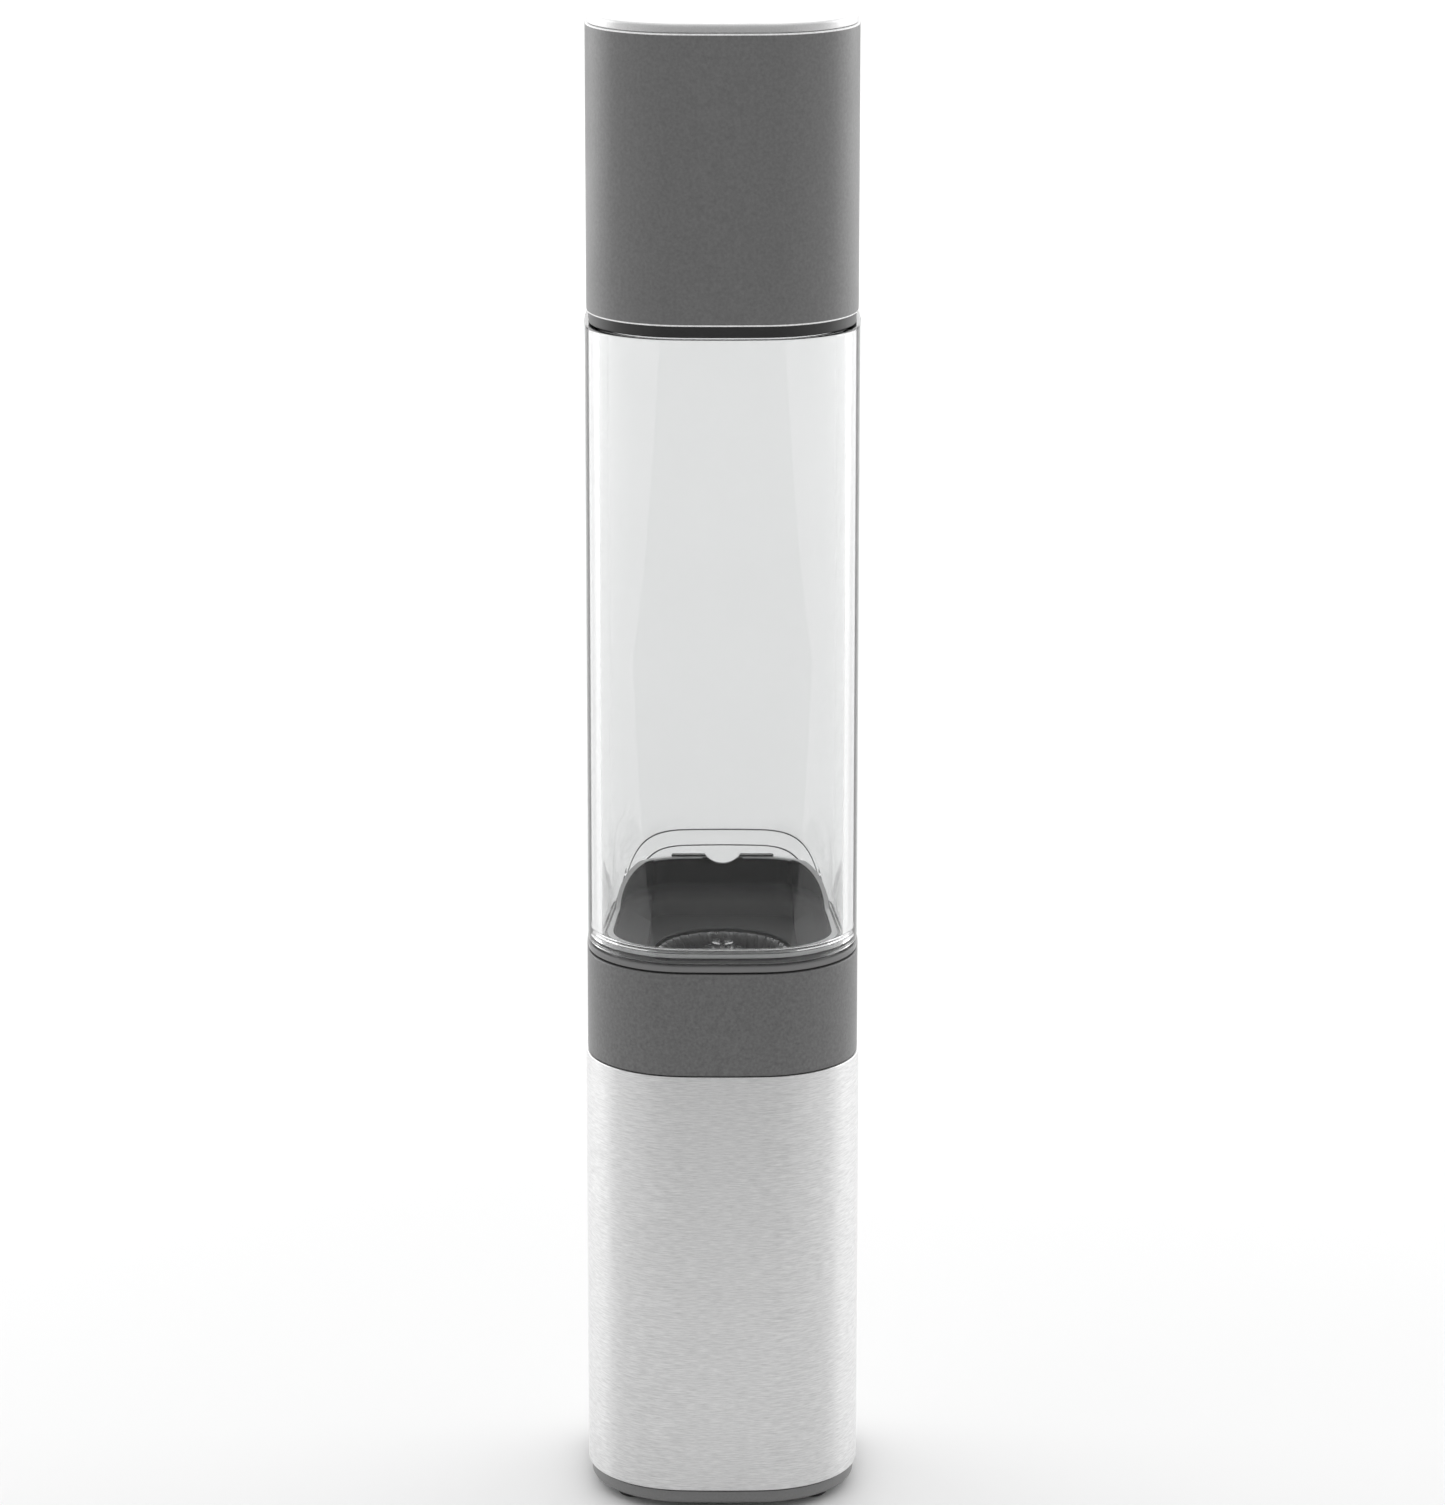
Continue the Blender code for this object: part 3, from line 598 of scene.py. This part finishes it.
def step_lines():
    """Dark strips on the two thin edges of the step that follows the hopper's back inside the
    container: painted lines for their refraction.
    """
    inner = half("container") - CONTAINER_WALL
    bottom = low("container")
    curves = (
        ("upper", bottom + 1.6, bottom + 12.4, STEP_UPPER),
        ("lower", bottom + 1.2, bottom + 9.5, STEP_LOWER),
    )
    for name, foot, top, climb in curves:
        rings = []
        for inset, rise in ((0.42, 0), (0.42, 0.22), (0.55, 0.22), (0.55, 0)):
            rings.append(raised(inner - inset, foot + rise, top + rise, *climb))
        piece = loft(f"container_step_{name}", rings, [0.05] * 4)
        place(piece, "reservoir", STEP_LOOK, ("container",))


def container_seal():
    """The pale seal between the hopper and the container."""
    outer = half("container_seal")
    inner = outer - 0.6
    bottom, top = low("container_seal") - SEAL_DROP, high("container_seal") - SEAL_DROP
    rings = [square(outer, top), square(outer, bottom), square(inner, bottom), square(inner, top)]
    return loft("container_seal_fine", rings, [0.15] * 4)


def collar_band():
    """The grey band, with a floor that is open round the neck."""
    outer = half("collar_band")
    bottom, top = low("collar_band"), high("collar_band")
    inner = outer - 1.8
    hole = 16.5
    floor = bottom + 2.2
    rings = [
        square(outer, top),
        square(outer, bottom),
        disc(hole, bottom),
        disc(hole, floor),
        square(inner, floor),
        square(inner, top),
    ]
    return loft("collar_band_fine", rings, [0.3, 0.12, 0.2, 0.2, 0.4, 0.2])


def hopper():
    """The dark floor of the container: low rim in front, raised back with a notched tab."""
    rim = half("container") - RIM_INSET
    back = rim - RIM_TO_BACK
    inner = back - 1.3
    flange = half("hopper")
    flange_top = low("container") - 0.35
    flange_low = high("collar_band") + 0.3
    body = half("collar_band") - 2.1
    body_inner = body - 1.5
    bottom = low("collar_band") + 2.5
    underside = 96.0
    neck, bore, mouth = 16.1, 12.9, 12.2
    seal_top = high("container_seal") + 0.1 - SEAL_DROP
    seal_low = low("container_seal") - 0.1 - SEAL_DROP
    neck_low = low("hopper")
    stator_top = high("stator_burr")
    tab_top = high("hopper")
    rim_back = tab_top - RIM_BELOW_TAB
    rim_front = high("container_seal") + RIM_TO_SEAL - SEAL_DROP
    shelf_low = stator_top + 2.6
    sections = [
        (raised(back, rim_front, rim_back), 0.3),
        (square(rim, seal_top), 0.1),
        (square(back, seal_top), 0.05),
        (square(back, seal_low), 0.05),
        (square(rim, seal_low), 0.1),
        (square(rim, flange_top), 0.05),
        (square(flange, flange_top), 0.45),
        (square(flange, flange_low), 0.3),
        (square(body, flange_low), 0.2),
        (square(body, bottom), 0.3),
        (square(body_inner, bottom), 0.2),
        (square(body_inner, underside), 0.5),
        (disc(neck, underside), 0.4),
        (disc(neck, neck_low), 0.3),
        (disc(bore, neck_low), 0.2),
        (disc(bore, stator_top + 0.3), 0.1),
        (disc(mouth, stator_top + 0.3), 0.1),
        (disc(mouth, shelf_low), 0.2),
        (square(13.6, shelf_low), 0.4),
        (square(inner, shelf_low + 2.4), 0.8),
        (raised(inner, rim_front, rim_back), 0.3),
    ]
    rings, softs = zip(*sections)
    piece = loft("hopper_fine", rings, softs)
    floor = stator_top + 0.8
    channel = upright_box("hopper_channel_cut", (13.3, 19.5), 3.4, floor, floor + 13)
    combine(piece, channel, "DIFFERENCE")
    at_back = (0, back - 0.55)
    tab = upright_box("hopper_tab_block", (9.5, 0.55), 0.25, tab_top - 1.4, tab_top, at_back, 0.25)
    combine(piece, tab, "UNION")
    combine(piece, notch_cut("hopper_notch_cut"), "DIFFERENCE")
    return piece


def notch_cut(name):
    """A cylinder that cuts the half-round notch in the hopper's tab."""
    back = half("container") - RIM_INSET - RIM_TO_BACK
    cut = turned(name, [(NOTCH_RADIUS, -3), (NOTCH_RADIUS, 3)], 0, capped=True, count=64)
    cut.rotation_euler = (math.pi / 2, 0, 0)
    cut.location = (0, back * MM, (high("hopper") + NOTCH_LIFT) * MM)
    return cut


def hopper_rim_highlight():
    """A pale strip along the top of the hopper's edge: a painted highlight."""
    back = half("container") - RIM_INSET - RIM_TO_BACK
    front = high("container_seal") + RIM_TO_SEAL - SEAL_DROP
    rear = high("hopper") - RIM_BELOW_TAB
    rings = []
    for inset, rise in ((0.1, -0.25), (0.1, 0.06), (1.1, 0.06), (1.1, -0.25)):
        rings.append(raised(back - inset, front + rise, rear + rise))
    piece = loft("hopper_rim_fine", rings, [0.05] * 4)
    combine(piece, notch_cut("rim_notch_cut"), "DIFFERENCE")
    place(piece, "reservoir", RIM_HIGHLIGHT_LOOK, ("hopper",))


def upright_box(name, size, corner, z_low, z_high, at=(0, 0), soft=0.0):
    """A box with rounded upright edges, from its half sizes and corner radius.

    A soft box has its flat edges rounded too, by that setback.
    """
    ring = []
    steps = 8
    for quarter, (sx, sy) in enumerate(((1, 1), (-1, 1), (-1, -1), (1, -1))):
        for i in range(steps + 1):
            angle = (quarter + i / steps) * math.pi / 2
            x = sx * (size[0] - corner) + corner * math.cos(angle)
            y = sy * (size[1] - corner) + corner * math.sin(angle)
            ring.append((x + at[0], y + at[1]))
    cap_share = 0.9 if soft else 0.999
    rings = []
    for z, share in ((z_low, cap_share), (z_low, 1), (z_high, 1), (z_high, cap_share)):
        shrunk = [(at[0] + (x - at[0]) * share, at[1] + (y - at[1]) * share) for x, y in ring]
        rings.append([Vector((x, y, z)) * MM for x, y in shrunk])
    return loft(name, rings, [0, soft, soft, 0], capped=True)


def toothed(outer, inner, z, teeth, turn, steps):
    """A ring of saw teeth between two radii, with a number of points to each tooth."""
    ring = []
    for i in range(teeth * steps):
        phase = (i % steps) / steps
        rise = min(phase / 0.35, 1.0, (1 - phase) / 0.45)
        radius = outer + (inner - outer) * max(0.0, rise)
        angle = turn + 2 * math.pi * i / (teeth * steps)
        ring.append(Vector((radius * math.cos(angle), radius * math.sin(angle), z)) * MM)
    return ring


def stator_burr():
    """The ring burr, with fine teeth inside that narrow to a throat."""
    top, bottom = high("stator_burr"), low("stator_burr")
    outer = half("stator_burr")
    count = STATOR_TEETH * STATOR_STEPS
    sections = (
        (11.9, 11.5, 0),
        (11.2, 10.6, 1.1),
        (10.3, 9.7, 3.3),
        (10.9, 10.3, 7.7),
        (11.9, 11.5, top - bottom),
    )
    rings = [circle(outer, bottom, count), circle(outer, top, count)]
    for root, tip, drop in sections:
        turn = drop * STATOR_TWIST
        rings.append(toothed(root, tip, top - drop, STATOR_TEETH, turn, STATOR_STEPS))
    return loft("stator_burr_fine", rings, [0.3, 0.25, 0.1, 0.1, 0.2, 0.2, 0.1])


def rotor_burr():
    """The cone burr, with coarse twisted teeth and a bore for the spindle."""
    top, bottom = high("rotor_burr"), low("rotor_burr")
    sections = (
        (4.6, 3.7, 0),
        (7.4, 6.2, 2.2),
        (9.1, 8.0, 5.9),
        (10.4, 9.7, 9.1),
        (11.0, 10.6, top - bottom),
    )
    rings = []
    for tip, root, drop in sections:
        turn = drop * ROTOR_TWIST
        rings.append(toothed(tip, root, top - drop, ROTOR_TEETH, turn, ROTOR_STEPS))
    bore, count = SPINDLE_RADIUS + 0.25, ROTOR_TEETH * ROTOR_STEPS
    spin = Matrix.Rotation((top - bottom) * ROTOR_TWIST, 3, "Z")
    rings += [[spin @ p for p in circle(bore, bottom, count)], circle(bore, top, count)]
    return loft("rotor_burr_fine", rings, [0.2, 0.3, 0.3, 0.3, 0.1, 0.1, 0.1])


def spindle():
    """The shaft under the cone burr, square where the spider turns it and slotted at the top."""
    top, bottom = high("spindle"), low("spindle")
    collar_top = low("rotor_burr") - 0.3
    collar_low = collar_top - 1.2
    profile = [
        (0.6, top),
        (SPINDLE_RADIUS, top),
        (SPINDLE_RADIUS, collar_top),
        (3.4, collar_top),
        (3.4, collar_low),
        (SPINDLE_RADIUS, collar_low),
        (SPINDLE_RADIUS, bottom + 0.6),
        (1.4, bottom),
        (0.6, bottom),
    ]
    piece = turned("spindle_fine", profile, 0.25, capped=True, count=64)
    combine(piece, upright_box("spindle_square", (1.8, 1.8), 0.2, 61, 84), "UNION")
    combine(piece, upright_box("spindle_slot", (0.4, 3), 0.05, top - 2, top + 2), "DIFFERENCE")
    return piece


# Base -------------------------------------------------------------------------------------------


def steel_sleeve():
    """The brushed sleeve. Its top is a little higher than in the CAD, to narrow the seam."""
    bottom, top = low("steel_sleeve"), high("steel_sleeve") + 0.17
    outer, inner = BODY_HALF, BODY_HALF - 0.6
    rings = [square(outer, top), square(outer, bottom), square(inner, bottom), square(inner, top)]
    return loft("steel_sleeve_fine", rings, [0.12, 0.2, 0.15, 0.1])


def base_plate():
    """The dark rim under the sleeve, open in the middle, with the adjuster's hub on three arms."""
    outer, inner, hole = half("base_plate"), 21.4, 11.0
    bottom = low("base_plate")
    rim_top = low("steel_sleeve") - 0.3
    top = rim_top + 1.6
    rings = [
        square(outer, rim_top),
        square(outer, bottom),
        disc(hole, bottom),
        disc(hole, top),
        square(inner, top),
        square(inner, rim_top),
    ]
    plate = loft("base_plate_fine", rings, [0.2, 0.9, 0.4, 0.3, 0.3, 0.2])
    for i, angle in enumerate((60, 180, 300)):
        arm = upright_box(f"plate_arm_{i}", (4.5, 1.2), 0.2, 3.8, 5.2, (7.5, 0), 0.2)
        arm.rotation_euler.z = math.radians(angle)
        combine(plate, arm, "UNION")
    hub_profile = [(2.0, 3.7), (4.4, 3.7), (4.4, 13.0), (2.0, 13.0)]
    combine(plate, turned("plate_hub", hub_profile, 0.3, capped=True), "UNION")
    combine(plate, turned("plate_bore", [(2.5, 3.0), (2.5, 14.0)], 0, capped=True), "DIFFERENCE")
    # A pocket for each foot, with a screw's head and hole behind it: (name, radius, bottom, top)
    cuts = (("pocket", 3.25, 1.0, 2.9), ("head", 2.25, 2.5, 4.5), ("hole", 1.25, 4, 6.7))
    for i, foot in enumerate(FEET):
        for name, radius, z_low, z_high in cuts:
            profile = [(radius, z_low), (radius, z_high)]
            tool = turned(f"plate_{name}_{i}", profile, 0, capped=True, count=48, at=middle(foot))
            combine(plate, tool, "DIFFERENCE")
    return plate


def middle(node):
    """Middle of a CAD node, seen from above."""
    a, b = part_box(node)
    return ((a.x + b.x) / 2 / MM, (a.y + b.y) / 2 / MM)


def rubber_feet():
    """The four feet in the base plate's pockets."""
    for name in FEET:
        a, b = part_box(name)
        radius = (b.x - a.x) / 2 / MM
        core = radius - 1.6
        top = b.z / MM
        profile = [(core, 0), (radius - 0.5, 0), (radius, 0.7), (radius, top), (core, top)]
        piece = turned(f"{name}_fine", profile, 0.35, capped=True, count=48, at=middle(name))
        stand_for(name, piece)


def fluted(radius, z, count):
    """A circle with shallow finger flutes."""
    ring = []
    for i in range(count):
        angle = 2 * math.pi * i / count
        r = radius - 0.45 * max(0.0, math.cos(KNOB_FLUTES * angle)) ** 2
        ring.append(Vector((r * math.cos(angle), r * math.sin(angle), z)) * MM)
    return ring


def adjuster_knob():
    """The wheel under the base that sets the grind."""
    top, bottom = high("adjuster_knob"), low("adjuster_knob")
    outer, bore, count = 4.9, 2.5, 120
    rings = [fluted(outer, z, count) for z in (top, bottom)]
    rings += [circle(bore, z, count) for z in (bottom, top)]
    return loft("adjuster_knob_fine", rings, [0.25, 0.5, 0.15, 0.15])


def carried_over():
    """The CAD nodes that stay get their slot's finish and soft edges."""
    for name, node in frame["nodes"].items():
        if node.hide_render:
            continue
        for i in range(len(node.data.materials)):
            node.data.materials[i] = LOOKS[SLOTS[name]]
        edges = node.modifiers.new("soft_edges", "BEVEL")
        edges.width = 0.06 * MM
        edges.segments = 2
        edges.limit_method = "ANGLE"
        edges.angle_limit = math.radians(40)


# Studio -----------------------------------------------------------------------------------------


def area_light(name, at, towards, size, strength):
    """A soft panel that the camera doesn't see, with a brightness in which the floor is near 1."""
    light = bpy.data.lights.new(name, "AREA")
    light.shape = "RECTANGLE"
    light.size, light.size_y = size
    light.energy = strength * size[0] * size[1] * math.pi
    panel = bpy.data.objects.new(name, light)
    panel.location = at
    panel.rotation_euler = (Vector(towards) - Vector(at)).to_track_quat("-Z", "Y").to_euler()
    panel.visible_camera = False
    bpy.context.scene.collection.objects.link(panel)


def flat_sheet(name, near, far, z, dark, light):
    """A level sheet between two corners, given in metres."""
    corners = [(near[0], near[1]), (far[0], near[1]), (far[0], far[1]), (near[0], far[1])]
    mesh = bpy.data.meshes.new(name)
    mesh.from_pydata([(x, y, z * MM) for x, y in corners], [], [(0, 1, 2, 3)])
    sheet = bpy.data.objects.new(name, mesh)
    bpy.context.scene.collection.objects.link(sheet)
    surface = Surface(name, roughness=0.6)
    surface.tint(surface.noise(3, 2.0), dark, light)
    mesh.materials.append(surface.material)
    return sheet


def studio():
    """White surroundings, side, back and top panels, and a dark card that only reflections see."""
    world = bpy.data.worlds.new("studio")
    world.use_nodes = True
    background = world.node_tree.nodes["Background"]
    background.inputs["Color"].default_value = (1, 1, 1, 1)
    background.inputs["Strength"].default_value = 0.68
    bpy.context.scene.world = world
    flat_sheet("floor", (-6, -6), (6, 6), 0, 0.79, 0.82)
    card = flat_sheet("dark_card", (-0.6, -1.3), (0.6, -0.3), 1, 0.1, 0.12)
    card.visible_camera = False
    card.visible_diffuse = False
    card.visible_transmission = False
    card.visible_shadow = False
    mill = (0, 0, 0.15)
    area_light("panel_left", (-1.35, 0.85, 0.6), mill, (1.5, 1.4), 1.9)
    area_light("panel_right", (1.35, 0.85, 0.6), mill, (1.5, 1.4), 1.9)
    area_light("panel_back", (0, 2.7, 1.0), mill, (2.8, 1.6), 1.15)
    area_light("panel_top", (0, 1.2, 2.4), (0, 1.2, 0), (4.0, 4.5), 0.45)


def camera():
    """The photograph's view: in front, above the mill's top, and looking down by 14.5 degrees."""
    pitch = 0.2525
    view = bpy.data.cameras.new("camera")
    view.sensor_width = 36
    view.lens = 133.8
    view.clip_start, view.clip_end = 0.05, 50
    eye = bpy.data.objects.new("camera", view)
    eye.location = (0, -0.960, 0.3821)
    eye.rotation_euler = (math.pi / 2 - pitch, 0, 0)
    bpy.context.scene.collection.objects.link(eye)
    bpy.context.scene.camera = eye


def build():
    """Makes every visible piece, the camera and the studio."""
    for node, make in (
        ("top_plate", top_plate),
        ("cap_shell", cap_shell),
        ("cap_liner", cap_liner),
        ("container", container),
        ("container_seal", container_seal),
        ("collar_band", collar_band),
        ("hopper", hopper),
        ("stator_burr", stator_burr),
        ("rotor_burr", rotor_burr),
        ("spindle", spindle),
        ("steel_sleeve", steel_sleeve),
        ("base_plate", base_plate),
        ("adjuster_knob", adjuster_knob),
    ):
        stand_for(node, make())
    step_lines()
    hopper_rim_highlight()
    rubber_feet()
    carried_over()
    camera()
    studio()
    bpy.context.scene.view_settings.view_transform = "Standard"


build()
